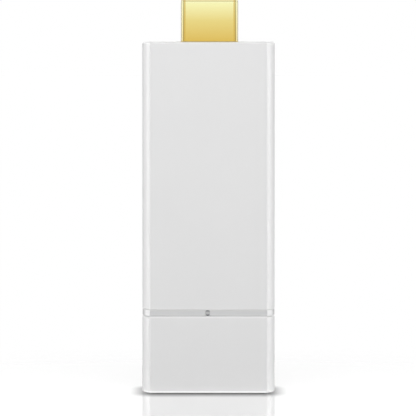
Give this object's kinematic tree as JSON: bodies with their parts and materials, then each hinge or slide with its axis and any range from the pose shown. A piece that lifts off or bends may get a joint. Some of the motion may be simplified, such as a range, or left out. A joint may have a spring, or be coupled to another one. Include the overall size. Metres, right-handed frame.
{
  "type": "streaming media player",
  "caption": "Slim stick-shaped wireless display receiver with an HDMI plug at one end, a ringed tail cap with a power inlet, a status light and a side push button.",
  "frame": {"origin": "middle of the tail cap's end face, which the stick stands on", "axes": "+Z along the stick from the tail cap to the HDMI plug, +X across its width towards the side button, -Y out of the front face"},
  "size_m": [0.0322, 0.012, 0.0953],
  "materials": {
    "white_plastic": "satin moulded",
    "band_silver": "pale satin silver",
    "clear_plastic": "clear moulded light guide",
    "label_film": "smooth film, blank",
    "gold_plate": "polished gold plating",
    "nickel_sheet": "nickel-plated sheet",
    "screw_steel": "dark plated steel",
    "aluminium_plate": "rolled",
    "black_plastic": "glass-filled, matte",
    "board_green": "solder mask",
    "chip_black": "moulded epoxy",
    "capacitor_tan": "fired ceramic",
    "pad_grey": "soft gap filler",
    "led_lens": "clear epoxy over phosphor"
  },
  "bodies": {
    "housing": {"front_shell": "white_plastic", "rear_shell": "white_plastic", "tail_cap": "white_plastic", "accent_band": "band_silver", "status_light_pipe": "clear_plastic", "rear_label": "label_film", "hdmi_plug_shell": "gold_plate", "hdmi_contacts": "gold_plate", "micro_usb_contacts": "gold_plate", "hdmi_rear_cover": "nickel_sheet", "micro_usb_shell": "nickel_sheet", "rf_shield_frame": "nickel_sheet", "rf_shield_lid": "nickel_sheet", "wifi_shield": "nickel_sheet", "crystal": "nickel_sheet", "antenna_left": "nickel_sheet", "antenna_right": "nickel_sheet", "tact_switch_cover": "nickel_sheet", "board_screws": "screw_steel", "heat_spreader": "aluminium_plate", "hdmi_insulator": "black_plastic", "micro_usb_tongue": "black_plastic", "tact_switch_body": "black_plastic", "circuit_board": "board_green", "wifi_module": "board_green", "system_chip": "chip_black", "memory_chip": "chip_black", "flash_chip": "chip_black", "power_inductors": "chip_black", "power_regulators": "chip_black", "resistors": "chip_black", "capacitors": "capacitor_tan", "chip_thermal_pad": "pad_grey", "spreader_thermal_pad": "pad_grey", "led_chip": "led_lens"},
    "button": {"mode_button": "white_plastic", "tact_switch_plunger": "black_plastic"}
  },
  "joints": [
    {"name": "mode_button_press", "type": "slide", "parent": "housing", "child": "button", "axis": [-1, 0, 0], "range_m": [0, 0.0003], "stiffness_N_per_m": 2000, "springref_m": -0.0002}
  ]
}
